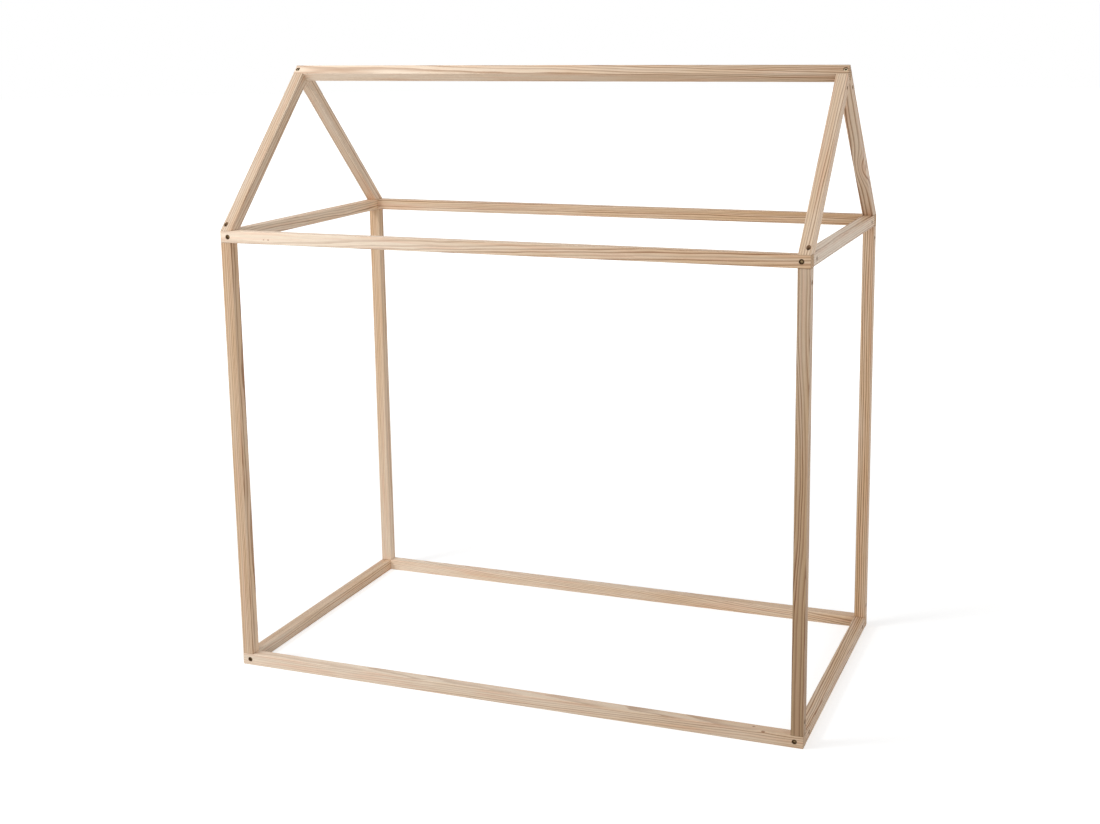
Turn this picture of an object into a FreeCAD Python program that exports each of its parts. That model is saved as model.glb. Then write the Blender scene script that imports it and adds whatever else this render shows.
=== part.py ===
import FreeCAD, Part
import math
import os

from FreeCAD import Placement, Rotation, Vector

# House frame bed: an open house of square pine battens, bolted at its corners, that stands on the
# floor around a child's mattress.
# Millimetres. X runs along the house from left to right, Y from front to back, and Z up.
# The origin is on the floor, at the middle of the footprint.

# The house, over its outer faces.
LENGTH = 1500.0
WIDTH = 800.0
WALL_HEIGHT = 1150.0

# The battens: square, with their long arrises eased.
BATTEN = 30.0
ARRIS_RADIUS = 2.0

# The bolts: a round head with a hexagon socket, on a shank whose thread is left plain.
SHANK_DIAMETER = 6.0
SHANK_CLEARANCE = 0.25
HEAD_DIAMETER = 10.0
HEAD_HEIGHT = 6.0
HEAD_CHAMFER = 0.6
SOCKET_ACROSS_FLATS = 5.0
SOCKET_DEPTH = 3.0
TIP_CHAMFER = 0.8
TIP_STANDOUT = 1.0
HOLE_RUN_OUT = 2.0

# The holes for the heads: wide in the flat faces, close in the thin foot of a rafter.
HEAD_HOLE_DIAMETER = 12.0
SEAT_DEPTH = 8.0
FOOT_HOLE_CLEARANCE = 0.2

# Fasteners that cross inside a batten lie this far to either side of its middle.
STAGGER = 6.0

# The barrel nuts: a short bar with a cross bore, and a slot in one end to turn it by.
NUT_DIAMETER = 10.0
NUT_LENGTH = 12.0
NUT_CHAMFER = 0.6
NUT_CLEARANCE = 0.1
NUT_BORE_CLEARANCE = 0.05
NUT_SLOT_WIDTH = 1.4
NUT_SLOT_DEPTH = 1.6
NUT_SETBACK = 32.0

# The dowels, hidden in the joints. They stop short of the bolts that cross the long rails.
DOWEL_DIAMETER = 6.0
DOWEL_CHAMFER = 0.6
DOWEL_CLEARANCE = 0.05
DOWEL_END_GAP = 0.5
DOWEL_IN_CROSS_PIECE = 9.0
DOWEL_IN_END_GRAIN = 20.0
DOWEL_IN_FOOT = 10.0
FOOT_DOWEL_INSET = 20.0

# Places that follow. The ridge is a square batten turned on its edge, so the roof slopes at 45
# degrees and rises by half the width.
SLANT = math.sqrt(0.5)
RIDGE_HEIGHT = WALL_HEIGHT + WIDTH / 2
LEVEL_CUT = BATTEN / SLANT
END_FACE = LENGTH / 2
SIDE_FACE = WIDTH / 2
BETWEEN_RAILS = WIDTH - 2 * BATTEN
POST_FOOT = BATTEN
POST_HEAD = WALL_HEIGHT - BATTEN
MIDDLE = BATTEN / 2
NEAR_END = MIDDLE - STAGGER
OFF_END = MIDDLE + STAGGER

# A bolt reaches from its seat, across the cross piece, to just past the nut. In a rafter's foot its
# head is sunk until its lower side meets the slope.
NUT_REACH = NUT_SETBACK + NUT_DIAMETER / 2 + TIP_STANDOUT
RAIL_BOLT_LENGTH = BATTEN - SEAT_DEPTH + NUT_REACH
FOOT_SEAT = MIDDLE - HEAD_DIAMETER / 2 - HEAD_HEIGHT
FOOT_BOLT_LENGTH = FOOT_SEAT + BATTEN + NUT_REACH
FOOT_HOLE_DIAMETER = HEAD_DIAMETER + 2 * FOOT_HOLE_CLEARANCE

ENDS = {"left": -1, "right": 1}
SIDES = {"front": -1, "back": 1}
X_AXIS = Vector(1, 0, 0)
Y_AXIS = Vector(0, 1, 0)
Z_AXIS = Vector(0, 0, 1)
SAME = 1e-6


def prism(corners, height):
    """A solid with the given corners at its base, extruded by a vector."""
    return Part.Face(Part.makePolygon(corners + corners[:1])).extrude(height)


def turned(profile, base, direction):
    """A turned piece: (radius, height) points spun about the direction, heights from the base."""
    outline = [Vector(radius, 0, height) for radius, height in profile]
    section = Part.Face(Part.makePolygon(outline + outline[:1]))
    piece = section.revolve(Vector(0, 0, 0), Z_AXIS, 360)
    piece.Placement = Placement(base, Rotation(Z_AXIS, direction))
    return piece


def chamfered_bar(diameter, length, chamfer):
    """The profile of a round bar whose two ends are chamfered."""
    radius = diameter / 2
    return [
        (0, 0), (radius - chamfer, 0), (radius, chamfer),
        (radius, length - chamfer), (radius - chamfer, length), (0, length),
    ]


# ---- Battens -------------------------------------------------------------------------------------

def ease_arrises(batten, along):
    """Rounds a batten's long edges, which run along the given direction."""
    long_edges = [
        edge for edge in batten.Edges
        if edge.tangentAt(edge.FirstParameter).cross(along).Length < SAME
    ]
    return batten.makeFillet(ARRIS_RADIUS, long_edges)


def lower_corner(which_way, face):
    """Where a batten's lower side lies, if its outer face is at plus or minus the given distance."""
    return face - BATTEN if which_way > 0 else -face


def long_rail(side, bottom):
    """A rail over the whole length, with its outer face in the front or back of the house."""
    corner = Vector(-END_FACE, lower_corner(side, SIDE_FACE), bottom)
    return ease_arrises(Part.makeBox(LENGTH, BATTEN, BATTEN, corner), X_AXIS)


def end_rail(end, bottom):
    """A rail between the two long ones, flush with their ends."""
    corner = Vector(lower_corner(end, END_FACE), -BETWEEN_RAILS / 2, bottom)
    return ease_arrises(Part.makeBox(BATTEN, BETWEEN_RAILS, BATTEN, corner), Y_AXIS)


def post(end, side):
    """A post that stands on a long bottom rail and carries the long top rail."""
    corner = Vector(lower_corner(end, END_FACE), lower_corner(side, SIDE_FACE), POST_FOOT)
    return ease_arrises(Part.makeBox(BATTEN, BATTEN, POST_HEAD - POST_FOOT, corner), Z_AXIS)


def rafter(end, side):
    """A rafter, cut level where it stands on the top rails and square where it meets the ridge."""
    profile = [
        (SIDE_FACE, WALL_HEIGHT),
        (SIDE_FACE - LEVEL_CUT, WALL_HEIGHT),
        (0, RIDGE_HEIGHT - LEVEL_CUT),
        (BATTEN * SLANT, RIDGE_HEIGHT - BATTEN * SLANT),
    ]
    corners = [Vector(lower_corner(end, END_FACE), side * y, z) for y, z in profile]
    return ease_arrises(prism(corners, X_AXIS * BATTEN), down_slope(side))


def ridge():
    """The ridge, whose two upper faces lie in the slopes of the roof."""
    beam = ease_arrises(Part.makeBox(LENGTH, BATTEN, BATTEN, Vector(-END_FACE, 0, 0)), X_AXIS)
    beam.rotate(Vector(0, 0, 0), X_AXIS, 45)
    beam.translate(Vector(0, 0, RIDGE_HEIGHT - LEVEL_CUT))
    return beam


def down_slope(side):
    """The direction down the front or back slope of the roof."""
    return Vector(0, side * SLANT, -SLANT)


# ---- Fasteners -----------------------------------------------------------------------------------

def bolt(seat, direction, length):
    """A bolt whose head bears on the seat and whose shank runs on in the given direction."""
    head_radius = HEAD_DIAMETER / 2
    shank_radius = SHANK_DIAMETER / 2
    blank = turned([
        (0, -HEAD_HEIGHT), (head_radius - HEAD_CHAMFER, -HEAD_HEIGHT),
        (head_radius, HEAD_CHAMFER - HEAD_HEIGHT), (head_radius, 0), (shank_radius, 0),
        (shank_radius, length - TIP_CHAMFER), (shank_radius - TIP_CHAMFER, length), (0, length),
    ], seat, direction)
    corner_radius = SOCKET_ACROSS_FLATS / 2 / math.cos(math.pi / 6)
    hexagon = [
        Vector(corner_radius * math.cos(turn), corner_radius * math.sin(turn), -HEAD_HEIGHT)
        for turn in (math.pi / 3 * step for step in range(6))
    ]
    socket = prism(hexagon, Z_AXIS * SOCKET_DEPTH)
    socket.Placement = blank.Placement
    return blank.cut(socket)


def bolt_holes(seat, direction, length, head_hole_diameter, head_hole_depth):
    """What is drilled for a bolt: the hole for its shank, and the wider one down to its seat."""
    shank_radius = SHANK_DIAMETER / 2 + SHANK_CLEARANCE
    return [
        Part.makeCylinder(shank_radius, length + HOLE_RUN_OUT, seat, direction),
        Part.makeCylinder(head_hole_diameter / 2, head_hole_depth, seat, -direction),
    ]


def barrel_nut(end, centre, bolt_direction):
    """A barrel nut that lies along X, with its slot towards the end of the house."""
    outwards = X_AXIS * end
    base = centre - outwards * (NUT_LENGTH / 2)
    bar = turned(chamfered_bar(NUT_DIAMETER, NUT_LENGTH, NUT_CHAMFER), base, outwards)
    bore = Part.makeCylinder(
        SHANK_DIAMETER / 2 + NUT_BORE_CLEARANCE, NUT_DIAMETER,
        centre - bolt_direction * (NUT_DIAMETER / 2), bolt_direction)
    floor = centre + outwards * (NUT_LENGTH / 2 - NUT_SLOT_DEPTH)
    along = bolt_direction * (NUT_DIAMETER / 2)
    across = outwards.cross(bolt_direction) * (NUT_SLOT_WIDTH / 2)
    slot = prism(
        [floor + along + across, floor + along - across,
         floor - along - across, floor - along + across],
        outwards * NUT_SLOT_DEPTH)
    return bar.cut([bore, slot])


def nut_hole(end, centre):
    """The blind hole for a barrel nut, drilled from the end of the house."""
    mouth = Vector(end * END_FACE, centre.y, centre.z)
    depth = (mouth - centre).Length + NUT_LENGTH / 2
    return Part.makeCylinder(NUT_DIAMETER / 2 + NUT_CLEARANCE, depth, mouth, X_AXIS * -end)


def dowel_hole(base, direction, length):
    """The hole that holds a dowel, in both of the battens that it joins."""
    return Part.makeCylinder(
        DOWEL_DIAMETER / 2 + DOWEL_CLEARANCE, length + 2 * DOWEL_END_GAP,
        base - direction * DOWEL_END_GAP, direction)


# ---- Joints: each adds its fasteners to their nodes, and their holes to the drilling -------------

fasteners = {}
drilling = []


def add_bolt(node, seat, direction, length, head_hole_diameter, head_hole_depth):
    fasteners.setdefault(node, []).append(bolt(seat, direction, length))
    drilling.extend(bolt_holes(seat, direction, length, head_hole_diameter, head_hole_depth))


def add_nut(node, end, centre, bolt_direction):
    fasteners.setdefault(node, []).append(barrel_nut(end, centre, bolt_direction))
    drilling.append(nut_hole(end, centre))


def add_dowel(node, joint, direction, behind, ahead):
    """A dowel across a joint, so far behind it and so far ahead of it."""
    base = joint - direction * behind
    length = behind + ahead
    pin = turned(chamfered_bar(DOWEL_DIAMETER, length, DOWEL_CHAMFER), base, direction)
    fasteners.setdefault(node, []).append(pin)
    drilling.append(dowel_hole(base, direction, length))


def join_rails(end, side, level):
    """A long rail to an end rail: the bolt crosses the long rail into the end rail's end grain."""
    inwards = Y_AXIS * -side
    mouth = Vector(end * (END_FACE - OFF_END), side * SIDE_FACE, level)
    seat = mouth + inwards * SEAT_DEPTH
    add_bolt("rail_bolts", seat, inwards, RAIL_BOLT_LENGTH, HEAD_HOLE_DIAMETER, SEAT_DEPTH)
    add_nut("rail_nuts", end, mouth + inwards * (BATTEN + NUT_SETBACK), inwards)
    joint = Vector(end * (END_FACE - NEAR_END), side * (SIDE_FACE - BATTEN), level)
    add_dowel("rail_dowels", joint, inwards, DOWEL_IN_CROSS_PIECE, DOWEL_IN_END_GRAIN)


def join_post_foot(end, side):
    """A long bottom rail to a post, with a bolt from below."""
    mouth = Vector(end * (END_FACE - NEAR_END), side * (SIDE_FACE - MIDDLE), 0)
    seat = mouth + Z_AXIS * SEAT_DEPTH
    add_bolt("post_foot_bolts", seat, Z_AXIS, RAIL_BOLT_LENGTH, HEAD_HOLE_DIAMETER, SEAT_DEPTH)
    add_nut("post_nuts", end, mouth + Z_AXIS * (BATTEN + NUT_SETBACK), Z_AXIS)
    joint = Vector(end * (END_FACE - OFF_END), side * (SIDE_FACE - MIDDLE), POST_FOOT)
    add_dowel("post_dowels", joint, Z_AXIS, DOWEL_IN_CROSS_PIECE, DOWEL_IN_END_GRAIN)


def join_post_head(end, side):
    """A rafter's foot and the long top rail to a post, with one bolt from above."""
    down = -Z_AXIS
    mouth = Vector(end * (END_FACE - NEAR_END), side * (SIDE_FACE - MIDDLE), WALL_HEIGHT)
    seat = mouth - down * FOOT_SEAT
    add_bolt("rafter_foot_bolts", seat, down, FOOT_BOLT_LENGTH, FOOT_HOLE_DIAMETER, BATTEN)
    add_nut("post_nuts", end, mouth + down * (BATTEN + NUT_SETBACK), down)
    joint = Vector(end * (END_FACE - OFF_END), side * (SIDE_FACE - MIDDLE), POST_HEAD)
    add_dowel("post_dowels", joint, down, DOWEL_IN_CROSS_PIECE, DOWEL_IN_END_GRAIN)
    foot = Vector(end * (END_FACE - OFF_END), side * (SIDE_FACE - FOOT_DOWEL_INSET), WALL_HEIGHT)
    add_dowel("rafter_foot_dowels", foot, Z_AXIS, DOWEL_IN_CROSS_PIECE, DOWEL_IN_FOOT)


def join_ridge(end, side):
    """The ridge to a rafter: the bolt enters the ridge's far upper face, in line with the rafter.

    The back rafters' bolts lie nearer the ends of the house than the front ones', so they pass.
    """
    down = down_slope(side)
    up_to_middle = down_slope(-side) * MIDDLE
    bolt_inset, dowel_inset = (NEAR_END, OFF_END) if side > 0 else (OFF_END, NEAR_END)
    mouth = Vector(end * (END_FACE - bolt_inset), 0, RIDGE_HEIGHT) + up_to_middle
    seat = mouth + down * SEAT_DEPTH
    add_bolt("ridge_bolts", seat, down, RAIL_BOLT_LENGTH, HEAD_HOLE_DIAMETER, SEAT_DEPTH)
    add_nut("ridge_nuts", end, mouth + down * (BATTEN + NUT_SETBACK), down)
    joint = Vector(end * (END_FACE - dowel_inset), 0, RIDGE_HEIGHT) + up_to_middle + down * BATTEN
    add_dowel("ridge_dowels", joint, down, DOWEL_IN_CROSS_PIECE, DOWEL_IN_END_GRAIN)


# ---- The house -----------------------------------------------------------------------------------

battens = {"ridge_beam": ridge()}
for side_name, side in SIDES.items():
    battens[side_name + "_bottom_rail"] = long_rail(side, 0)
    battens[side_name + "_top_rail"] = long_rail(side, POST_HEAD)
    for end_name, end in ENDS.items():
        battens[side_name + "_" + end_name + "_post"] = post(end, side)
        battens[side_name + "_" + end_name + "_rafter"] = rafter(end, side)
        join_rails(end, side, MIDDLE)
        join_rails(end, side, POST_HEAD + MIDDLE)
        join_post_foot(end, side)
        join_post_head(end, side)
        join_ridge(end, side)
for end_name, end in ENDS.items():
    battens[end_name + "_bottom_rail"] = end_rail(end, 0)
    battens[end_name + "_top_rail"] = end_rail(end, POST_HEAD)

os.makedirs("parts", exist_ok=True)
for node, batten in battens.items():
    near = [hole for hole in drilling if hole.BoundBox.intersect(batten.BoundBox)]
    drilled = batten.cut(near)
    drilled.exportStep("parts/" + node + ".step")
    print(node, len(drilled.Solids), "solid,", round(drilled.Volume / 1000), "cm3")
for node, pieces in fasteners.items():
    Part.makeCompound(pieces).exportStep("parts/" + node + ".step")
    print(node, len(pieces), "solids")
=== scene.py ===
import math

import bmesh
import bpy
from mathutils import Matrix, Vector


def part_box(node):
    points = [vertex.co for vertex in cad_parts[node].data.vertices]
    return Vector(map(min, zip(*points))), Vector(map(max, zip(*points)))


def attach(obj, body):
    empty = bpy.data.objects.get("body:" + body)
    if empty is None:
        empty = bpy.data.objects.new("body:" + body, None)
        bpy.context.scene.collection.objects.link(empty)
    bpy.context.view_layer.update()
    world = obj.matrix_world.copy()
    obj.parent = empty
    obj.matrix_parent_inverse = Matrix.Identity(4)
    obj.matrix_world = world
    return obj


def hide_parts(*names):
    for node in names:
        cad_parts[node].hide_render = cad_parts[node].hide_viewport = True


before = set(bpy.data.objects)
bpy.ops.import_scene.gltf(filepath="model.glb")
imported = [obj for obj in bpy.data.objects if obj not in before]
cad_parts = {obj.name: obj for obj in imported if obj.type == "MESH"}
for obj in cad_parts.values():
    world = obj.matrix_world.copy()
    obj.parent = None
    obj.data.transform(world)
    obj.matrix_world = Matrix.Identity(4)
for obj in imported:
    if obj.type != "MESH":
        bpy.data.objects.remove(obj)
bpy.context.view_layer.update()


# ---- Long bottom rails ---------------------------------------------------------------------------
# Two planed pine battens that lie on the floor along the front and the back of the house. Each is
# sawn to length, its arrises are eased with a round cutter, and it is drilled for its bolts.

MM = 0.001
MM_PER_METRE = 1000
low_corner, high_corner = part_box("front_bottom_rail")
BATTEN = high_corner.z - low_corner.z
HOUSE_LENGTH = high_corner.x - low_corner.x
END_FACE = high_corner.x
SIDE_FACE = -low_corner.y
HALF = BATTEN / 2
ARRIS_RADIUS = 2 * MM
SAWN_EDGE = 0.9 * MM
ENDS = (-1, 1)
SIDES = {"front": -1, "back": 1}
X_AXIS = Vector((1, 0, 0))
Y_AXIS = Vector((0, 1, 0))
Z_AXIS = Vector((0, 0, 1))

# The holes: bolts and dowels cross a batten on two lines beside its middle, and a bolt's barrel nut
# lies a little way into the batten that it holds.
OFF_MIDDLE = 6 * MM
HEAD_HOLE = 12 * MM
BOLT_SEAT = 8 * MM
SHANK_HOLE = 6.5 * MM
SHANK_DEPTH = 40 * MM
NUT_HOLE = 10.2 * MM
NUT_SETBACK = 32 * MM
NUT_LENGTH = 12 * MM
DOWEL_HOLE = 6.1 * MM
DOWEL_CROSSWISE = 9.5 * MM
DOWEL_LENGTHWISE = 20.5 * MM
MOUTH = 0.4 * MM
DRILL_SIDES = 40
WELD = 1e-6


def set_out(middle, along, across):
    """A batten's own place: local X runs along it and local Y across it, from its middle."""
    third = along.cross(across)
    columns = Matrix((along, across, third)).transposed().to_4x4()
    return Matrix.Translation(middle) @ columns


def planed_batten(length):
    """A square batten about the local X axis, with its four long arrises eased."""
    shape = bmesh.new()
    bmesh.ops.create_cube(shape, size=1, matrix=Matrix.Diagonal((length, BATTEN, BATTEN, 1)))
    arrises = [edge for edge in shape.edges if edge.calc_length() > length / 2]
    bmesh.ops.bevel(
        shape, geom=arrises, offset=ARRIS_RADIUS, segments=4, profile=0.5, affect="EDGES",
        material=-1)
    return shape


def saw(shape, point, outwards):
    """Cuts a batten off square to the outward direction, and closes the cut."""
    cut = bmesh.ops.bisect_plane(
        shape, geom=shape.verts[:] + shape.edges[:] + shape.faces[:], dist=WELD / 10,
        plane_co=point, plane_no=outwards, clear_outer=True)
    rim = [item for item in cut["geom_cut"] if isinstance(item, bmesh.types.BMEdge)]
    bmesh.ops.edgeloop_fill(shape, edges=rim)


def break_ends(shape):
    """Takes the sharpness off the two sawn ends."""
    ends = sorted(shape.faces, key=lambda face: len(face.verts))[-2:]
    rims = {edge for face in ends for edge in face.edges}
    bmesh.ops.bevel(
        shape, geom=list(rims), offset=SAWN_EDGE, segments=3, profile=0.5, affect="EDGES",
        material=-1)


def bore(mouth, direction, *steps):
    """What a stepped drill takes away: (width, depth) of each step, with its mouth just eased.

    Its second material is for the walls, and the eased mouth keeps the batten's own.
    """
    overshoot = 1 * MM
    radius = steps[0][0] / 2
    outline = [(0, -overshoot), (radius + MOUTH + overshoot, -overshoot), (radius, MOUTH)]
    for width, depth in steps:
        outline += [(width / 2, outline[-1][1]), (width / 2, depth)]
    outline.append((0, depth))
    shape = turned(outline, mouth, direction, DRILL_SIDES)
    for face in shape.faces:
        if (face.calc_center_median() - mouth).dot(direction) > MOUTH:
            face.material_index = 1
    return shape


def facing(spot, direction):
    """The place of a turned shape whose own Z axis points in the direction."""
    turn = Z_AXIS.rotation_difference(direction).to_matrix().to_4x4()
    return Matrix.Translation(spot) @ turn


def turned(outline, base, direction, segments):
    """A turned shape: (radius, height) points spun about the direction, heights from the base."""
    shape = bmesh.new()
    points = [shape.verts.new((radius, 0, height)) for radius, height in outline]
    edges = [shape.edges.new(pair) for pair in zip(points, points[1:])]
    bmesh.ops.spin(
        shape, geom=points + edges, cent=(0, 0, 0), axis=(0, 0, 1), angle=2 * math.pi,
        steps=segments, use_merge=True)
    bmesh.ops.remove_doubles(shape, verts=shape.verts[:], dist=WELD)
    bmesh.ops.recalc_face_normals(shape, faces=shape.faces[:])
    bmesh.ops.transform(shape, matrix=facing(base, direction), verts=shape.verts[:])
    return shape


def placed(shape, name, materials=()):
    """An object in the scene, made from a finished shape."""
    mesh = bpy.data.meshes.new(name)
    for material in materials:
        mesh.materials.append(material)
    shape.to_mesh(mesh)
    shape.free()
    piece = bpy.data.objects.new(name, mesh)
    bpy.context.scene.collection.objects.link(piece)
    return piece


def shade_evenly(piece, sharpest):
    """Smooths a piece's round faces, and keeps each edge that turns by more degrees than this."""
    piece.data.shade_smooth()
    piece.data.set_sharp_from_angle(angle=math.radians(sharpest))
    piece.modifiers.new("even shading", "WEIGHTED_NORMAL").keep_sharp = True


def cut_away(piece, cutters):
    """Takes the cutters' shapes out of a piece."""
    tools = [placed(cutter, "cutter", piece.data.materials) for cutter in cutters]
    for tool in tools:
        cut = piece.modifiers.new("cut", "BOOLEAN")
        cut.operation = "DIFFERENCE"
        cut.solver = "EXACT"
        cut.object = tool
    evaluated = piece.evaluated_get(bpy.context.evaluated_depsgraph_get())
    mesh = bpy.data.meshes.new_from_object(evaluated)
    piece.modifiers.clear()
    piece.data = mesh
    for tool in tools:
        bpy.data.objects.remove(tool)
    shade_evenly(piece, sharpest=35)
    return piece


class Wire:
    """A socket in a material's nodes. Sums on wires add Math nodes, and made() any other node."""

    def __init__(self, tree, socket=None):
        self.tree = tree
        self.socket = socket

    def made(self, kind, settings, inputs, output=0):
        node = self.tree.nodes.new(kind)
        for name, value in settings.items():
            setattr(node, name, value)
        for name, value in inputs.items():
            if isinstance(value, Wire):
                self.tree.links.new(value.socket, node.inputs[name])
            else:
                node.inputs[name].default_value = value
        return Wire(self.tree, node.outputs[output])

    def maths(self, operation, *values):
        return self.made("ShaderNodeMath", {"operation": operation}, dict(enumerate(values)))

    def __add__(self, other):
        return self.maths("ADD", self, other)

    def __sub__(self, other):
        return self.maths("SUBTRACT", self, other)

    def __rsub__(self, other):
        return self.maths("SUBTRACT", other, self)

    def __mul__(self, other):
        return self.maths("MULTIPLY", self, other)

    def __truediv__(self, other):
        return self.maths("DIVIDE", self, other)

    __radd__ = __add__
    __rmul__ = __mul__

    def between(self, start, end):
        """0 up to the start, 1 from the end, and a soft step from one to the other."""
        return self.made(
            "ShaderNodeMapRange", {"interpolation_type": "SMOOTHSTEP"},
            {"Value": self, "From Min": start, "From Max": end})

    def tinted(self, share, colour):
        """This colour, with a share of another mixed in: 0, 6, 7 and 2 are the colour sockets."""
        return self.made(
            "ShaderNodeMix", {"data_type": "RGBA"}, {0: share, 6: self, 7: colour}, 2)

    def axis(self, letter):
        return self.made("ShaderNodeSeparateXYZ", {}, {"Vector": self}, letter)

    def stretched(self, lengths):
        """This vector with each axis divided by a length."""
        return self.made(
            "ShaderNodeVectorMath", {"operation": "DIVIDE"}, {0: self, 1: lengths})

    def length(self):
        return self.made(
            "ShaderNodeVectorMath", {"operation": "LENGTH"}, {0: self}, "Value")

    def noise(self, detail, output="Fac"):
        return self.made(
            "ShaderNodeTexNoise", {}, {"Vector": self, "Scale": 1, "Detail": detail}, output)

    def ripple(self):
        """Noise along one line, from a single value."""
        return self.made(
            "ShaderNodeTexNoise", {"noise_dimensions": "1D"},
            {"W": self, "Scale": 1, "Detail": 1})


def paint(red, green, blue):
    """A colour given as it looks on a screen, 0 to 255, in the linear form that materials take."""
    def linear(value):
        value /= 255
        return value / 12.92 if value < 0.04045 else ((value + 0.055) / 1.055) ** 2.4
    return (linear(red), linear(green), linear(blue), 1)


def new_material(name):
    material = bpy.data.materials.new(name)
    material.use_nodes = True
    shader = material.node_tree.nodes["Principled BSDF"]
    return material, shader, Wire(material.node_tree)


def plain_colour(start, colour):
    """A colour as a wire, for others to be mixed into."""
    wire = start.made("ShaderNodeRGB", {}, {})
    wire.socket.default_value = colour
    return wire


CREAM_WOOD = paint(242, 224, 202)
HONEY_WOOD = paint(226, 188, 144)
LATE_WOOD = paint(148, 98, 58)
KNOT_WOOD = paint(138, 92, 58)
ROSE_WOOD = paint(234, 182, 150)
# The two browns of the hole walls are painted shade.
HOLE_WALL_SHADE = paint(164, 128, 94)
HOLE_WALL_DEEP_SHADE = paint(122, 92, 66)

# How long and how wide the grain's features are, in millimetres along and across the trunk.
SWAYS = (520, 900, 900)
UNEVEN_RINGS = (110, 12, 12)
FIBRES = (42, 0.55, 0.55)
CLOUDS = (260, 16, 16)
ROSY_STREAKS = (170, 6, 6)
RESIN_CANALS = (7, 0.3, 0.3)
GOOD_YEARS = 23

# Each log takes its noise from a place of its own, this far from the last log's.
NEXT_LOG = Vector((1700, 90, 0))
NEXT_LOG_YEARS = 7.7
NEXT_LOG_WEIGHTS = 31

# How far the rings are from true circles, and a branch's reach: its swirl's length and width and
# its core's length for each millimetre of its radius, and the push on the rings for its square.
RING_WAVE = 3.4
SWIRL_LENGTH = 5.6
SWIRL_WIDTH = 2.2
CORE_LENGTH = 1.5
CORE_WAVE = 1.6
CORE_EDGE = (1.3, 0.2)
BRANCH_PUSH = 0.2
BRANCH_BLUSH = 0.04

# The years: how far good ones widen the rings, where in a year its late wood starts and is darkest
# and where it ends, and how dark the lightest year's is and how much more a heavy year's may be.
GOOD_YEARS_GAIN = 1.6
AUTUMN = (0.38, 0.9)
WINTER = (1.0, 0.95)
LIGHTEST_YEAR = 0.4
HEAVIER_YEAR = 0.7

# The colours: the values of noise from which each feature shows and at which it is full, and the
# share of its colour that it then has.
NOISE_MIDDLE = 0.5
CLOUD_GAIN = 1.2
GOLDEN_RANGE = (-0.25, 1.25)
ROSY_RANGE = (0.48, 0.7)
FIBRE_RANGE = (0.42, 0.72)
CANAL_RANGE = (0.70, 0.78)
HOLE_SHADE_MOTTLE_RANGE = (0.4, 0.6)
ROSY_SHARE = 0.3
FIBRE_SHARE = 0.2
CANAL_SHARE = 0.2
LATE_SHARE = 0.5
LATE_SHARE_IN_HONEY = 0.7

# The faces, from how far they look along the grain, and the light that end grain loses. The eased
# edges of the sawn ends are darkened more, a painted shade for the crevices where battens meet.
END_GRAIN = (0.5, 0.75)
PAINTED_SHADE_SIDE_RANGE = (0.15, 0.35)
PAINTED_SHADE_END_RANGE = (0.985, 0.93)
END_GRAIN_SHADE = 0.16
PAINTED_EDGE_SHADE = 0.3
PLANED_ROUGHNESS = 0.56


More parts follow.
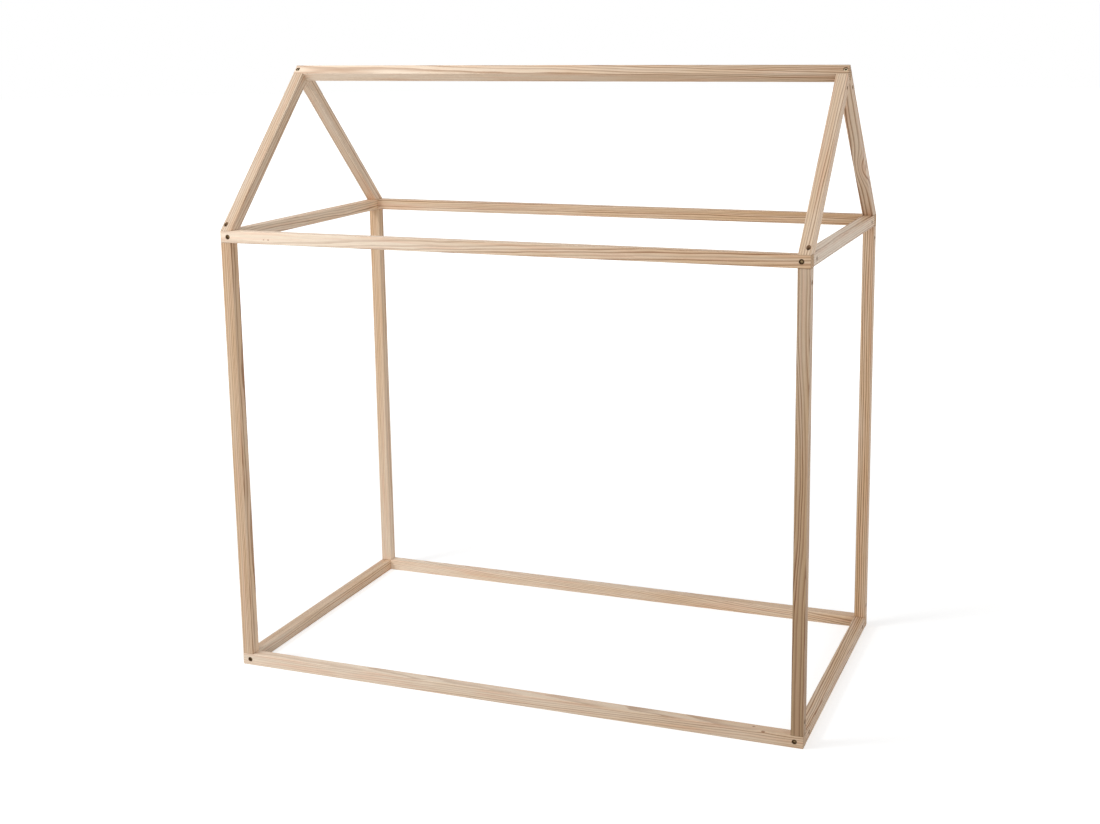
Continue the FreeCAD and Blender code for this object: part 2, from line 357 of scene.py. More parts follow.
def pine(name, place, heart, lean, ring, bold, honey, tone, sway=12, log=0, knots=()):
    """Planed pine, cut lengthwise out of a trunk, in millimetres along and across the batten.

    heart is where the trunk's middle passes the batten, lean how far that drifts in each metre,
    and sway how far it wanders. ring is a year's growth, and bold is how dark its late wood is.
    honey is the share of golden wood, and tone how bright the batten is, both at its middle and
    then what each metre adds. tone is partly the wood's own paleness and partly painted light,
    which makes battens and their ends lighter or darker as the light falls on them.
    Each knot is (distance along, across Y, across Z, radius, how dark its core is).
    """
    material, shader, start = new_material(name)
    here = start.made("ShaderNodeTexCoord", {}, {}, "Object")
    grain = start.made(
        "ShaderNodeMapping", {"vector_type": "TEXTURE"},
        {"Vector": here, "Location": place.to_translation(),
         "Rotation": place.to_euler(), "Scale": (MM, MM, MM)})
    tree = start.made(
        "ShaderNodeVectorMath", {"operation": "ADD"}, {0: grain, 1: NEXT_LOG * log})
    along = grain.axis("X")

    # The trunk wanders a little, and its rings aren't quite round.
    wander = tree.stretched(SWAYS).noise(1, "Color")
    uneven = tree.stretched(UNEVEN_RINGS).noise(1)
    across = grain.axis("Y") - along * (lean[0] / MM_PER_METRE) - heart[0]
    upright = grain.axis("Z") - along * (lean[1] / MM_PER_METRE) - heart[1]
    across = across + (wander.axis("X") - NOISE_MIDDLE) * sway
    upright = upright + (wander.axis("Y") - NOISE_MIDDLE) * sway
    radius = across.maths("SQRT", across * across + upright * upright) + uneven * RING_WAVE

    # A branch pushes the rings outwards around it.
    fibre = tree.stretched(FIBRES).noise(3)
    branches = []
    for knot_x, knot_y, knot_z, knot_radius, darkness in knots:
        offset = start.made(
            "ShaderNodeVectorMath", {"operation": "SUBTRACT"},
            {0: grain, 1: (knot_x, knot_y, knot_z)})
        swirl = Vector((SWIRL_LENGTH, SWIRL_WIDTH, SWIRL_WIDTH)) * knot_radius
        spread = offset.stretched(swirl).length()
        bulge = along.maths("EXPONENT", spread * spread * -1)
        radius = radius - bulge * (BRANCH_PUSH * knot_radius ** 2)
        reach = offset.stretched((CORE_LENGTH, 1, 1)).length() + fibre * CORE_WAVE
        core = reach.between(knot_radius + CORE_EDGE[0], knot_radius + CORE_EDGE[1])
        blush = bulge * bulge * (BRANCH_BLUSH * knot_radius)
        branches.append((blush, core * darkness))

    # Each year's wood darkens from spring to autumn, and then starts pale again. Some years are
    # wider than others, and some end darker.
    years = radius / ring
    years = years + (radius / GOOD_YEARS + log * NEXT_LOG_YEARS).ripple() * GOOD_YEARS_GAIN
    season = years.maths("FRACT", years)
    year = years.maths("FLOOR", years)
    weight = year.made(
        "ShaderNodeTexWhiteNoise", {"noise_dimensions": "1D"}, {"W": year + log * NEXT_LOG_WEIGHTS})
    autumn = season.between(*AUTUMN)
    before_winter = season.between(*WINTER)
    late = autumn * before_winter * (weight * HEAVIER_YEAR + LIGHTEST_YEAR)

    # The wood's own colour goes from cream to honey, with rosy streaks in it. Late wood, fibres and
    # resin canals darken it.
    cloud = tree.stretched(CLOUDS).noise(2)
    golden = along * (honey[1] / MM_PER_METRE) + (cloud - NOISE_MIDDLE) * CLOUD_GAIN + honey[0]
    golden = golden.between(*GOLDEN_RANGE)
    colour = plain_colour(start, CREAM_WOOD).tinted(golden, HONEY_WOOD)
    flush = tree.stretched(ROSY_STREAKS).noise(1).between(*ROSY_RANGE)
    colour = colour.tinted(flush * ROSY_SHARE, ROSE_WOOD)
    darkening = late * (golden * LATE_SHARE_IN_HONEY + LATE_SHARE) * bold
    colour = colour.tinted(darkening, LATE_WOOD)
    canal = tree.stretched(RESIN_CANALS).noise(0).between(*CANAL_RANGE)
    fine_lines = fibre.between(*FIBRE_RANGE) * FIBRE_SHARE + canal * CANAL_SHARE
    colour = colour.tinted(fine_lines, LATE_WOOD)
    for blush, core in branches:
        colour = colour.tinted(blush, ROSE_WOOD)
        colour = colour.tinted(core, KNOT_WOOD)

    # Sawn ends drink in more light than planed faces. Their eased edges are darker still, a painted
    # shade for the crevices where battens meet. How far a face looks along the grain tells which
    # it is.
    normal = start.made("ShaderNodeNewGeometry", {}, {}, "Normal")
    lengthwise = start.made(
        "ShaderNodeVectorMath", {"operation": "DOT_PRODUCT"},
        {0: normal, 1: place.to_3x3() @ X_AXIS}, "Value")
    lengthwise = lengthwise.maths("ABSOLUTE", lengthwise)
    end_grain = lengthwise.between(*END_GRAIN)
    painted_edge_shade = lengthwise.between(*PAINTED_SHADE_SIDE_RANGE) * lengthwise.between(*PAINTED_SHADE_END_RANGE)
    shade = 1 - end_grain * END_GRAIN_SHADE - painted_edge_shade * PAINTED_EDGE_SHADE
    # The tone is partly painted light, lighter or darker along and between battens as the light
    # falls.
    shade = shade * (along * (tone[1] / MM_PER_METRE) + tone[0])
    colour = colour.made(
        "ShaderNodeVectorMath", {"operation": "SCALE"}, {0: colour, "Scale": shade})
    start.tree.links.new(colour.socket, shader.inputs["Base Color"])
    roughness = PLANED_ROUGHNESS + late * 0.05 - fibre * 0.06 + end_grain * 0.2
    start.tree.links.new(roughness.socket, shader.inputs["Roughness"])
    relief = start.made(
        "ShaderNodeBump", {}, {"Strength": 0.35, "Distance": 0.1 * MM,
                               "Height": late * 0.5 - fibre * 0.6})
    start.tree.links.new(relief.socket, shader.inputs["Normal"])
    return material


def speckle(start, size, detail):
    """Even noise of a size in millimetres."""
    here = start.made("ShaderNodeTexCoord", {}, {}, "Object")
    return here.stretched((size * MM, size * MM, size * MM)).noise(detail)


def hole_shade_paint():
    """The walls of the holes: rough, in two dark browns that paint the shade inside them."""
    material, shader, start = new_material("hole_shade_pine")
    shade_mottle = speckle(start, size=0.9, detail=2)
    colour = plain_colour(start, HOLE_WALL_SHADE).tinted(shade_mottle.between(*HOLE_SHADE_MOTTLE_RANGE), HOLE_WALL_DEEP_SHADE)
    start.tree.links.new(colour.socket, shader.inputs["Base Color"])
    shader.inputs["Roughness"].default_value = 0.85
    return material


hole_shade_pine = hole_shade_paint()


def finish_batten(shape, node, place, bores, **wood):
    """Gives a batten its wood, drills it and puts it in its place."""
    grain = pine(node + "_pine", place, **wood)
    piece = cut_away(placed(shape, node + "_batten", [grain, hole_shade_pine]), bores)
    piece.data.transform(place)
    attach(piece, "root")
    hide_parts(node)


def bolt_through(mouth, direction):
    """The hole for a bolt that crosses a batten: wide for its head, then close on its shank."""
    return bore(mouth, direction, (HEAD_HOLE, BOLT_SEAT), (SHANK_HOLE, BATTEN + MM))


bottom_rail_wood = {
    "front": dict(heart=(8, -60), lean=(-6, 18), ring=5.0, bold=0.9, honey=(0.07, 0.64),
                  tone=(1.01, -0.12), log=1,
                  knots=[(655, -15, 14, 3.0, 0.75), (628, 2, 15, 2.2, 0.75)]),
    "back": dict(heart=(30, 70), lean=(0, -60), ring=4.0, bold=0.8, honey=(0.25, 0.46),
                 tone=(1.11, -0.08), log=2),
}
for side_name, side in SIDES.items():
    shape = planed_batten(HOUSE_LENGTH)
    break_ends(shape)
    bores = []
    for end in ENDS:
        near = end * (END_FACE - HALF + OFF_MIDDLE)
        off = end * (END_FACE - HALF - OFF_MIDDLE)
        bores += [
            bolt_through(Vector((off, side * HALF, 0)), Y_AXIS * -side),
            bore(Vector((near, -side * HALF, 0)), Y_AXIS * side, (DOWEL_HOLE, DOWEL_CROSSWISE)),
            bolt_through(Vector((near, 0, -HALF)), Z_AXIS),
            bore(Vector((off, 0, HALF)), -Z_AXIS, (DOWEL_HOLE, DOWEL_CROSSWISE)),
        ]
    place = set_out(Vector((0, side * (SIDE_FACE - HALF), HALF)), X_AXIS, Y_AXIS)
    finish_batten(shape, side_name + "_bottom_rail", place, bores, **bottom_rail_wood[side_name])


# ---- Bottom end rails ----------------------------------------------------------------------------
# The two short battens on the floor at the ends of the house. They fit between the long rails, and
# each end is drawn up by a bolt into a barrel nut, whose hole opens on the outer face.

BETWEEN_RAILS = 2 * SIDE_FACE - 2 * BATTEN


def end_grain_bores(end, length, bolt_offset):
    """The holes in one end of a batten for its bolt, its dowel and its nut, on its outer face."""
    face = end * length / 2
    inwards = X_AXIS * -end
    nut_depth = HALF - bolt_offset + NUT_LENGTH / 2
    return [
        bore(Vector((face, bolt_offset, 0)), inwards, (SHANK_HOLE, SHANK_DEPTH)),
        bore(Vector((face, -bolt_offset, 0)), inwards, (DOWEL_HOLE, DOWEL_LENGTHWISE)),
        bore(Vector((face, HALF, 0)) + inwards * NUT_SETBACK, -Y_AXIS, (NUT_HOLE, nut_depth)),
    ]


def end_rail(node, end, height, **wood):
    shape = planed_batten(BETWEEN_RAILS)
    break_ends(shape)
    bores = [hole for tip in ENDS for hole in end_grain_bores(tip, BETWEEN_RAILS, -OFF_MIDDLE)]
    place = set_out(Vector((end * (END_FACE - HALF), 0, height)), Y_AXIS, X_AXIS * end)
    finish_batten(shape, node, place, bores, **wood)


end_rail("left_bottom_rail", -1, HALF, heart=(45, 45), lean=(4, 2), ring=3.7, bold=0.95,
         honey=(0.48, 0.37), tone=(0.96, 0.18), log=3)
end_rail("right_bottom_rail", 1, HALF, heart=(-50, 30), lean=(-6, 4), ring=5.6, bold=1.1,
         honey=(0.60, 0.00), tone=(0.875, 0.06), log=4)


# ---- Posts ---------------------------------------------------------------------------------------
# Four upright battens that stand on the long bottom rails. A bolt comes up into each from below and
# another down from the roof, and their barrel nuts lie in holes near its two ends.

low_corner, high_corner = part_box("front_left_post")
POST_LENGTH = high_corner.z - low_corner.z
POST_MIDDLE = (high_corner.z + low_corner.z) / 2
post_wood = {
    ("front", -1): dict(heart=(62, -20), lean=(2, 2), ring=4.6, bold=0.8, honey=(0.67, 0.21),
                        tone=(0.92, -0.05), log=5),
    ("front", 1): dict(heart=(-58, 25), lean=(-6, 0), ring=6.6, bold=1.0, honey=(0.96, -1.12),
                       tone=(0.69, 0.21), sway=34, log=6),
    ("back", -1): dict(heart=(60, -25), lean=(2, 0), ring=5.0, bold=0.65, honey=(0.50, 0.64),
                       tone=(1.02, -0.09), log=7),
    ("back", 1): dict(heart=(64, 18), lean=(2, 0), ring=4.8, bold=1.0, honey=(0.72, -0.21),
                      tone=(0.93, -0.02), log=8),
}
for (side_name, end), wood in post_wood.items():
    shape = planed_batten(POST_LENGTH)
    break_ends(shape)
    bores = [hole for tip in ENDS for hole in end_grain_bores(tip, POST_LENGTH, OFF_MIDDLE)]
    middle = Vector((end * (END_FACE - HALF), SIDES[side_name] * (SIDE_FACE - HALF), POST_MIDDLE))
    node = side_name + ("_left_post" if end < 0 else "_right_post")
    finish_batten(shape, node, set_out(middle, Z_AXIS, X_AXIS * end), bores, **wood)


# ---- Top rails -----------------------------------------------------------------------------------
# Two long battens that lie on the posts, and two short ones between them, as on the floor. The bolt
# through each rafter's foot passes down through the long rail into the post.

TOP_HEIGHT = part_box("front_top_rail")[1].z - HALF
FOOT_DOWEL_INSET = 20 * MM
top_rail_wood = {
    "front": dict(heart=(40, 30), lean=(0, 40), ring=4.8, bold=0.85, honey=(0.25, 0.88),
                  tone=(1.04, -0.14), log=9,
                  knots=[(-625, -15, -3, 1.2, 0.75), (-612, -15, -3, 1.5, 0.75)]),
    "back": dict(heart=(12, 68), lean=(0, 5), ring=5.0, bold=1.0, honey=(0.69, 0.27),
                 tone=(1.03, -0.08), log=10),
}
for side_name, side in SIDES.items():
    shape = planed_batten(HOUSE_LENGTH)
    break_ends(shape)
    bores = []
    for end in ENDS:
        near = end * (END_FACE - HALF + OFF_MIDDLE)
        off = end * (END_FACE - HALF - OFF_MIDDLE)
        foot_dowel_y = side * (HALF - FOOT_DOWEL_INSET)
        bores += [
            bolt_through(Vector((off, side * HALF, 0)), Y_AXIS * -side),
            bore(Vector((near, -side * HALF, 0)), Y_AXIS * side, (DOWEL_HOLE, DOWEL_CROSSWISE)),
            bore(Vector((near, 0, HALF)), -Z_AXIS, (SHANK_HOLE, BATTEN + MM)),
            bore(Vector((off, 0, -HALF)), Z_AXIS, (DOWEL_HOLE, DOWEL_CROSSWISE)),
            bore(Vector((off, foot_dowel_y, HALF)), -Z_AXIS, (DOWEL_HOLE, DOWEL_CROSSWISE)),
        ]
    place = set_out(Vector((0, side * (SIDE_FACE - HALF), TOP_HEIGHT)), X_AXIS, Y_AXIS)
    finish_batten(shape, side_name + "_top_rail", place, bores, **top_rail_wood[side_name])

end_rail("left_top_rail", -1, TOP_HEIGHT, heart=(45, -40), lean=(4, 2), ring=3.8, bold=0.9,
         honey=(0.32, 0.69), tone=(1.03, 0.09), log=11)
end_rail("right_top_rail", 1, TOP_HEIGHT, heart=(40, 55), lean=(-4, 3), ring=5.2, bold=1.0,
         honey=(0.10, 1.20), tone=(0.93, 0.09), log=12)


# ---- Rafters -------------------------------------------------------------------------------------
# Four sloping battens. Each foot is sawn level to stand on the top rails, with a bolt straight down
# through it, and each head is sawn square to meet the ridge.

SLANT = math.sqrt(0.5)
WALL_TOP = TOP_HEIGHT + HALF
RAFTER_LENGTH = SIDE_FACE / SLANT - BATTEN
RIDGE_HEIGHT = WALL_TOP + SIDE_FACE
FOOT_HEAD_HOLE = 10.4 * MM
FOOT_SEAT = 4 * MM
FOOT_DOWEL_DEPTH = 10.5 * MM


def roof_bolt_offset(side):
    """The back rafters' bolts lie nearer the ends of the house than the front ones', to pass."""
    return OFF_MIDDLE if side > 0 else -OFF_MIDDLE


rafter_wood = {
    ("front", -1): dict(heart=(50, -40), lean=(5, -4), ring=4.0, bold=0.85, honey=(0.40, 0.06),
                        tone=(0.89, 0.00), log=13),
    ("front", 1): dict(heart=(55, 35), lean=(8, 6), ring=4.2, bold=0.95, honey=(0.44, 0.19),
                       tone=(1.02, -0.02), log=14),
    ("back", -1): dict(heart=(-50, -30), lean=(4, 5), ring=4.2, bold=0.85, honey=(0.35, -0.18),
                       tone=(1.01, -0.09), log=15),
    ("back", 1): dict(heart=(52, 25), lean=(8, 4), ring=7.5, bold=1.15, honey=(0.42, 0.00),
                      tone=(0.92, 0.09), log=16, knots=[(-48, 13, -24, 10, 0)]),
}
for (side_name, end), wood in rafter_wood.items():
    side = SIDES[side_name]
    up_slope = Vector((0, -side * SLANT, SLANT))
    outwards = Vector((0, side * SLANT, SLANT))
    tip = Vector((end * (END_FACE - HALF), side * SIDE_FACE, WALL_TOP))
    place = set_out(tip + up_slope * (RAFTER_LENGTH / 2) - outwards * HALF, up_slope, X_AXIS * end)
    inside = place.inverted()
    down = inside.to_3x3() @ -Z_AXIS
    shape = planed_batten(RAFTER_LENGTH)
    saw(shape, inside @ tip, down)
    break_ends(shape)
    slope = Vector((tip.x + end * OFF_MIDDLE, side * (SIDE_FACE - HALF), WALL_TOP + BATTEN))
    dowel = Vector((tip.x - end * OFF_MIDDLE, side * (SIDE_FACE - FOOT_DOWEL_INSET), WALL_TOP))
    bores = end_grain_bores(1, RAFTER_LENGTH, roof_bolt_offset(side)) + [
        bore(inside @ slope, down, (FOOT_HEAD_HOLE, BATTEN - FOOT_SEAT), (SHANK_HOLE, BATTEN + MM)),
        bore(inside @ dowel, -down, (DOWEL_HOLE, FOOT_DOWEL_DEPTH)),
    ]
    node = side_name + ("_left_rafter" if end < 0 else "_right_rafter")
    finish_batten(shape, node, place, bores, **wood)


# ---- Ridge ---------------------------------------------------------------------------------------
# A long batten turned on its edge, so that its two upper faces lie in the slopes of the roof. The
# bolts to the rafters go in through these faces.

shape = planed_batten(HOUSE_LENGTH)
break_ends(shape)
bores = []
for end in ENDS:
    for side, outwards in ((1, Z_AXIS), (-1, Y_AXIS)):
        middle = X_AXIS * end * (END_FACE - HALF)
        shift = X_AXIS * end * roof_bolt_offset(side)
        bores += [
            bolt_through(middle + shift + outwards * HALF, -outwards),
            bore(middle - shift - outwards * HALF, outwards, (DOWEL_HOLE, DOWEL_CROSSWISE)),
        ]
place = set_out(
    Vector((0, 0, RIDGE_HEIGHT - HALF / SLANT)), X_AXIS, Vector((0, SLANT, SLANT)))
finish_batten(shape, "ridge_beam", place, bores, heart=(-30, -40), lean=(-40, 0), ring=4.6,
              bold=1.05, honey=(0.30, 0.50), tone=(1.02, -0.22), log=17)


# ---- Rail bolts ----------------------------------------------------------------------------------
# Eight steel bolts with turned round heads, bronzed dark brown, that go through the long rails into
# the end rails. The hexagonal socket in each head is pale steel, a painted highlight, and the tip
# half of the shank has a rolled thread.

HEAD = 10 * MM
HEAD_HEIGHT = 6 * MM
HEAD_EDGE = 0.6 * MM
SOCKET_FLATS = 5 * MM
SOCKET_DEPTH = 3 * MM
SOCKET_EDGE = 0.15 * MM
SOCKET_POINT = 0.7 * MM
SIXTH_TURN = math.pi / 3
SHANK = 6 * MM
BOLT_LENGTH = 60 * MM
TIP_EDGE = 0.8 * MM
THREADED = 34 * MM
THREAD_PITCH = 1 * MM
THREAD_DEPTH = 0.55 * MM
THREAD_FOOT = 0.05 * MM
THREAD_STEPS = 20
TURNED_SIDES = 36
LEVELS = (HALF, TOP_HEIGHT)


def bolt_shape(length):
    """A bolt along Z: its head is below Z = 0, and its shank reaches up to its tip.

    The round socket of the turned blank is pushed out to a hexagon, whose faces have the second
    material.
    """
    top = -HEAD_HEIGHT
    flat = SOCKET_FLATS / 2
    root = SHANK / 2 - THREAD_DEPTH
    outline = [
        (0, top + SOCKET_DEPTH + SOCKET_POINT), (flat, top + SOCKET_DEPTH),
        (flat, top + SOCKET_EDGE), (flat + SOCKET_EDGE, top),
        (HEAD / 2 - HEAD_EDGE, top), (HEAD / 2 - HEAD_EDGE * 0.3, top + HEAD_EDGE * 0.3),
        (HEAD / 2, top + HEAD_EDGE), (HEAD / 2, 0),
        (SHANK / 2, 0), (SHANK / 2, length - THREADED - THREAD_DEPTH), (root, length - THREADED),
        (root, length - TIP_EDGE / 2), (root - TIP_EDGE / 2, length), (0, length),
    ]
    shape = turned(outline, Vector(), Z_AXIS, TURNED_SIDES)
    for vert in shape.verts:
        across = math.hypot(vert.co.x, vert.co.y)
        if 0 < across < flat + 2 * SOCKET_EDGE and vert.co.z < top + SOCKET_DEPTH + WELD:
            angle = math.atan2(vert.co.y, vert.co.x)
            from_flat = (angle + SIXTH_TURN / 2) % SIXTH_TURN - SIXTH_TURN / 2
            widened = 1 / math.cos(from_flat)
            vert.co.x *= widened
            vert.co.y *= widened
    for face in shape.faces:
        middle = face.calc_center_median()
        if math.hypot(middle.x, middle.y) < flat + SOCKET_EDGE and middle.z < 0:
            face.material_index = 1
    wind_thread(shape, length - THREADED, length - TIP_EDGE)
    return shape


def wind_thread(shape, low, high):
    """Winds the ridge of a screw thread round the shank, closed at both ends."""
    root = SHANK / 2 - THREAD_DEPTH - THREAD_FOOT
    crest = SHANK / 2
    profile = [
        shape.verts.new((radius, 0, low + share * THREAD_PITCH))
        for radius, share in ((root, 0), (crest, 0.42), (crest, 0.5), (root, 0.92))]
    rim = [shape.edges.new(pair) for pair in zip(profile, profile[1:] + profile[:1])]
    turns = int((high - low) / THREAD_PITCH) - 1
    wound = bmesh.ops.spin(
        shape, geom=profile + rim, cent=(0, 0, 0), axis=(0, 0, 1), angle=2 * math.pi * turns,
        dvec=(0, 0, THREAD_PITCH / THREAD_STEPS), steps=turns * THREAD_STEPS)
    end_rim = [item for item in wound["geom_last"] if isinstance(item, bmesh.types.BMEdge)]
    for edges in (rim, end_rim):
        bmesh.ops.edgeloop_fill(shape, edges=edges)
    bmesh.ops.recalc_face_normals(shape, faces=shape.faces[:])


def repeated(shape, places):
    """One shape with a copy of this one at each place."""
    mesh = bpy.data.meshes.new("pattern")
    shape.to_mesh(mesh)
    shape.free()
    whole = bmesh.new()
    for place in places:
        done = len(whole.verts)
        whole.from_mesh(mesh)
        whole.verts.ensure_lookup_table()
        bmesh.ops.transform(whole, matrix=place, verts=whole.verts[done:])
    bpy.data.meshes.remove(mesh)
    return whole


MOTTLE_RANGE = (0.4, 0.65)
MOTTLE_SHARE = 0.7
WEAR = 0.2


def metal(name, colour, mottle, roughness):
    """Plated or bronzed steel, with a mottle of a second colour and fine wear."""
    material, shader, start = new_material(name)
    cloud = speckle(start, size=2.5, detail=3)
    wear = speckle(start, size=0.35, detail=1)
    tint = plain_colour(start, colour).tinted(cloud.between(*MOTTLE_RANGE) * MOTTLE_SHARE, mottle)
    start.tree.links.new(tint.socket, shader.inputs["Base Color"])
    rough = wear * WEAR + roughness
    start.tree.links.new(rough.socket, shader.inputs["Roughness"])
    shader.inputs["Metallic"].default_value = 1
    return material


bronzed_steel = metal("bronzed_steel", paint(84, 65, 42), paint(56, 43, 28), 0.3)
# The pale steel in the sockets is a painted highlight.
socket_highlight_steel = metal("socket_highlight_steel", paint(148, 128, 98), paint(104, 86, 62), 0.25)


def hardware(node, shape, materials):
    """Small hardware in its place of a CAD node."""
    piece = placed(shape, node + "_hardware", materials)
    shade_evenly(piece, sharpest=30)
    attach(piece, "root")
    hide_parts(node)


class Joint:
    """A bolted joint: its bolt's mouth and direction, and the end of the house it is nearest."""

    def __init__(self, end, mouth, direction):
        self.outwards = X_AXIS * end
        self.mouth = mouth
        self.direction = direction

    def bolt_place(self):
        return facing(self.mouth + self.direction * BOLT_SEAT, self.direction)

    def nut_place(self):
        middle = self.mouth + self.direction * (BATTEN + NUT_SETBACK)
        return set_out(middle, self.outwards, self.direction)


rail_joints = [
    Joint(end, Vector((end * (END_FACE - HALF - OFF_MIDDLE), side * SIDE_FACE, level)),
          Y_AXIS * -side)
    for level in LEVELS for side in SIDES.values() for end in ENDS]
rail_bolt_places = [joint.bolt_place() for joint in rail_joints]
hardware("rail_bolts", repeated(bolt_shape(BOLT_LENGTH), rail_bolt_places),
         [bronzed_steel, socket_highlight_steel])


# ---- Post foot bolts -----------------------------------------------------------------------------
# Four of the same bronzed steel bolts, turned in from under the bottom rails, that go up into the
# feet of the posts. Their heads are sunk, so that the house stands flat on the floor.

near_end_x = END_FACE - HALF + OFF_MIDDLE
foot_joints = [
    Joint(end, Vector((end * near_end_x, side * (SIDE_FACE - HALF), 0)), Z_AXIS)
    for side in SIDES.values() for end in ENDS]
foot_bolt_places = [joint.bolt_place() for joint in foot_joints]
hardware("post_foot_bolts", repeated(bolt_shape(BOLT_LENGTH), foot_bolt_places),
         [bronzed_steel, socket_highlight_steel])


# ---- Rafter foot bolts ---------------------------------------------------------------------------
# Four longer bolts of the same kind that go straight down through the rafters' feet and the top
# rails into the posts. Each head lies deep in a narrow hole that opens in the rafter's slope.

FOOT_BOLT_LENGTH = 72 * MM
head_joints = [
    Joint(end, Vector((end * near_end_x, side * (SIDE_FACE - HALF), WALL_TOP)), -Z_AXIS)
    for side in SIDES.values() for end in ENDS]
seats = [
    facing(Vector((joint.mouth.x, joint.mouth.y, WALL_TOP + FOOT_SEAT)), -Z_AXIS)
    for joint in head_joints]
hardware("rafter_foot_bolts", repeated(bolt_shape(FOOT_BOLT_LENGTH), seats),
         [bronzed_steel, socket_highlight_steel])


# ---- Ridge bolts ---------------------------------------------------------------------------------
# Four steel bolts that go in through the ridge's two upper faces, down the slope into the rafters'
# heads. Their heads are pale steel, a painted highlight, and their sockets dark bronze.

RIDGE_MIDDLE = RIDGE_HEIGHT - HALF / SLANT
ridge_joints = []
ridge_dowel_places = []
for end in ENDS:
    for side in SIDES.values():
        down_slope = Vector((0, side * SLANT, -SLANT))
        middle = Vector((end * (END_FACE - HALF), 0, RIDGE_MIDDLE))
        shift = X_AXIS * end * roof_bolt_offset(side)
        ridge_joints.append(Joint(end, middle + shift - down_slope * HALF, down_slope))
        ridge_dowel_places.append(facing(middle - shift + down_slope * HALF, down_slope))
# The pale steel of the ridge bolts' heads is a painted highlight.
ridge_head_highlight_steel = metal("ridge_head_highlight_steel", paint(196, 178, 150), paint(150, 134, 110), 0.3)
ridge_bolt_places = [joint.bolt_place() for joint in ridge_joints]
hardware("ridge_bolts", repeated(bolt_shape(BOLT_LENGTH), ridge_bolt_places),
         [ridge_head_highlight_steel, bronzed_steel])


# ---- Barrel nuts ---------------------------------------------------------------------------------
# Plated steel cylinders with a threaded hole across their middle for the bolt, and a screwdriver
# slot in the end that shows. There is one for each bolt.

NUT_WIDTH = 10 * MM
NUT_EDGE = 0.5 * MM
NUT_BORE = 6.1 * MM
NUT_BORE_SIDES = 32
NUT_SLOT = 1.4 * MM
NUT_SLOT_DEPTH = 1.6 * MM


def nut_shape():
    """A nut about local X, with the slot at its +X end and its threaded hole along local Y."""
    half = NUT_LENGTH / 2
    radius = NUT_WIDTH / 2
    outline = [
        (0, -half), (radius - NUT_EDGE, -half), (radius, NUT_EDGE - half),
        (radius, half - NUT_EDGE), (radius - NUT_EDGE, half), (0, half)]
    body = placed(turned(outline, Vector(), X_AXIS, TURNED_SIDES), "nut")
    hole = bmesh.new()
    bmesh.ops.create_cone(
        hole, cap_ends=True, segments=NUT_BORE_SIDES, radius1=NUT_BORE / 2,
        radius2=NUT_BORE / 2, depth=2 * NUT_WIDTH, matrix=Matrix.Rotation(math.pi / 2, 4, "X"))
    slot = bmesh.new()
    bmesh.ops.create_cube(
        slot, size=1,
        matrix=Matrix.Translation((half, 0, 0))
        @ Matrix.Diagonal((2 * NUT_SLOT_DEPTH, 2 * NUT_WIDTH, NUT_SLOT, 1)))
    cut_away(body, [hole, slot])
    shape = bmesh.new()
    shape.from_mesh(body.data)
    bpy.data.objects.remove(body)
    return shape


nut_steel = metal("nut_steel", paint(66, 58, 48), paint(46, 40, 33), 0.36)
for node, joints in (
        ("rail_nuts", rail_joints), ("post_nuts", foot_joints + head_joints),
        ("ridge_nuts", ridge_joints)):
    hardware(node, repeated(nut_shape(), [joint.nut_place() for joint in joints]),
             [nut_steel])


# ---- Dowels --------------------------------------------------------------------------------------
# Beech pegs, hidden in the joints beside the bolts, that keep the battens from turning. They are
# fluted along their length for the glue, and their ends are chamfered.

DOWEL = 6 * MM
DOWEL_EDGE = 0.8 * MM
DOWEL_IN_RAIL = 9 * MM
DOWEL_IN_END = 20 * MM
DOWEL_IN_FOOT = 10 * MM
FLUTES = 14
FLUTE_SIDES = 3
FLUTE_SHARE = 0.93
BEECH_WOOD = paint(222, 190, 150)
BEECH_FLECK = paint(186, 142, 100)
FLECK_RANGE = (0.5, 0.62)
FLECK_SHARE = 0.4


def dowel_shape(length):
    """A dowel along Z whose joint face is at Z = 0, with the shorter end below it."""
    radius = DOWEL / 2
    low = -DOWEL_IN_RAIL
    outline = [
        (0, low), (radius - DOWEL_EDGE, low), (radius, low + DOWEL_EDGE),
        (radius, length - DOWEL_EDGE), (radius - DOWEL_EDGE, length), (0, length)]
    sides = FLUTE_SIDES * FLUTES
    shape = turned(outline, Vector(), Z_AXIS, sides)
    for vert in shape.verts:
        side_number = round(math.atan2(vert.co.y, vert.co.x) * sides / (2 * math.pi))
        if side_number % FLUTE_SIDES == 0:
            vert.co.x *= FLUTE_SHARE
            vert.co.y *= FLUTE_SHARE
    return shape


def flecked_beech():
    """Beech, pale with short dark flecks."""
    material, shader, start = new_material("beech")
    fleck = speckle(start, size=0.8, detail=2)
    flecks = fleck.between(*FLECK_RANGE) * FLECK_SHARE
    colour = plain_colour(start, BEECH_WOOD).tinted(flecks, BEECH_FLECK)
    start.tree.links.new(colour.socket, shader.inputs["Base Color"])
    shader.inputs["Roughness"].default_value = 0.6
    return material


beech = flecked_beech()

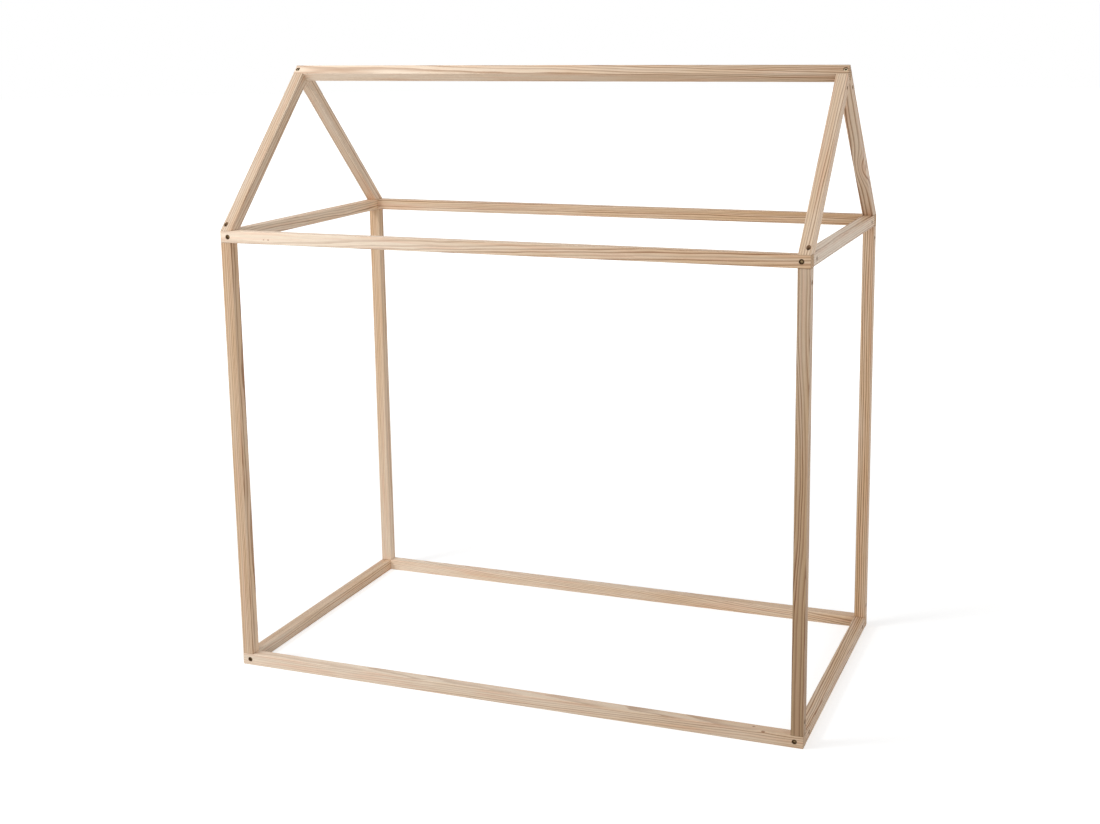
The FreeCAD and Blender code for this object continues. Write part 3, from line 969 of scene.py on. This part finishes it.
rail_dowels = [
    facing(Vector((end * near_end_x, side * (SIDE_FACE - BATTEN), level)), Y_AXIS * -side)
    for level in LEVELS for side in SIDES.values() for end in ENDS]
off_end_x = END_FACE - HALF - OFF_MIDDLE
post_dowels = [
    facing(Vector((end * off_end_x, side * (SIDE_FACE - HALF), joint_height)), into_post)
    for joint_height, into_post in (
        (POST_MIDDLE - POST_LENGTH / 2, Z_AXIS), (POST_MIDDLE + POST_LENGTH / 2, -Z_AXIS))
    for side in SIDES.values() for end in ENDS]
foot_dowels = [
    facing(Vector((end * off_end_x, side * (SIDE_FACE - FOOT_DOWEL_INSET), WALL_TOP)), Z_AXIS)
    for side in SIDES.values() for end in ENDS]
for node, places, length in (
        ("rail_dowels", rail_dowels, DOWEL_IN_END), ("post_dowels", post_dowels, DOWEL_IN_END),
        ("rafter_foot_dowels", foot_dowels, DOWEL_IN_FOOT),
        ("ridge_dowels", ridge_dowel_places, DOWEL_IN_END)):
    hardware(node, repeated(dowel_shape(length), places), [beech])


# ---- Floor, lamps and camera ---------------------------------------------------------------------
# A plain pale studio: a white floor that keeps the house's soft shadow, soft lamps on the left,
# above and on the right, and the camera at the height of a standing person's eyes.

FLOOR_RADIUS = 40
FLOOR_GREY = (0.75, 0.75, 0.75, 1)
WHITE = (1, 1, 1, 1)
NEAR_GLOW = 0.56
GLOW_FADE = (0.8, 4.5)
AMBIENT = 0.385

shape = bmesh.new()
bmesh.ops.create_circle(shape, cap_ends=True, segments=96, radius=FLOOR_RADIUS)
floor = placed(shape, "floor")
material, shader, start = new_material("studio_floor")
shader.inputs["Base Color"].default_value = FLOOR_GREY
shader.inputs["Roughness"].default_value = 0.9
shader.inputs["Specular IOR Level"].default_value = 0


def seen(start):
    """1 for the rays that show the studio to the camera, also in gloss and through glass."""
    rays = start.made("ShaderNodeLightPath", {}, {}, "Is Camera Ray")
    node = rays.socket.node
    for name in ("Is Glossy Ray", "Is Transmission Ray"):
        rays = rays.maths("MAXIMUM", rays, Wire(rays.tree, node.outputs[name]))
    return rays


# Near the house the floor glows a little less than white and keeps the shadow. Far off it is white.
far = start.made("ShaderNodeTexCoord", {}, {}, "Object").length().between(*GLOW_FADE)
glow = start.made(
    "ShaderNodeEmission", {},
    {"Color": WHITE, "Strength": seen(start) * (NEAR_GLOW + far * (1 - NEAR_GLOW))})
total = start.made("ShaderNodeAddShader", {}, {0: Wire(start.tree, shader.outputs[0]), 1: glow})
start.tree.links.new(total.socket, start.tree.nodes["Material Output"].inputs["Surface"])
floor.data.materials.append(material)

world = bpy.data.worlds.new("studio")
world.use_nodes = True
bpy.context.scene.world = world
start = Wire(world.node_tree)
background = world.node_tree.nodes["Background"]
strength = AMBIENT + seen(start) * (1 - AMBIENT)
world.node_tree.links.new(strength.socket, background.inputs["Strength"])
background.inputs["Color"].default_value = WHITE


LAMPS_AIM = Vector((0, 0, 0.8))


def soft_lamp(name, spot, width, power):
    """A square lamp that shines on the middle of the house: width in metres, power in watts."""
    light = bpy.data.lights.new(name, "AREA")
    light.size = width
    light.energy = power
    lamp = bpy.data.objects.new(name, light)
    bpy.context.scene.collection.objects.link(lamp)
    turn = (LAMPS_AIM - spot).to_track_quat("-Z", "Y")
    lamp.matrix_world = Matrix.Translation(spot) @ turn.to_matrix().to_4x4()


soft_lamp("front_lamp", spot=Vector((-2.2, -2.7, 1.5)), width=0.9, power=14.2)
soft_lamp("left_lamp", spot=Vector((-2.4, -1.9, 3.0)), width=0.9, power=42.7)
soft_lamp("top_lamp", spot=Vector((-0.8, -0.5, 4.4)), width=2.2, power=17.3)
soft_lamp("right_lamp", spot=Vector((8.0, 1.0, 3.5)), width=4.0, power=58)
soft_lamp("fill_lamp", spot=Vector((4.0, -4.0, 1.2)), width=2.0, power=56)

# The photograph's view: its place in metres, its angles in radians, and its frame moved a little
# off the lens's axis.
EYE = (1.4515, -3.6310, 1.6301)
PHOTO_WIDTH = 1100
PHOTO_HEIGHT = 824
FOCAL_PIXELS = 1525.7
AXIS_PIXEL = (600, 316)
TURN = 0.35302
TILT = -0.18396
CANT = -0.00928
lens = bpy.data.cameras.new("camera")
lens.lens = FOCAL_PIXELS / PHOTO_WIDTH * lens.sensor_width
lens.shift_x = (PHOTO_WIDTH / 2 - AXIS_PIXEL[0]) / PHOTO_WIDTH
lens.shift_y = (AXIS_PIXEL[1] - PHOTO_HEIGHT / 2) / PHOTO_WIDTH
camera = bpy.data.objects.new("camera", lens)
bpy.context.scene.collection.objects.link(camera)
camera.matrix_world = (
    Matrix.Translation(EYE)
    @ Matrix.Rotation(TURN, 4, "Z")
    @ Matrix.Rotation(math.pi / 2 + TILT, 4, "X")
    @ Matrix.Rotation(CANT, 4, "Z"))
bpy.context.scene.camera = camera
bpy.context.scene.view_settings.view_transform = "Standard"
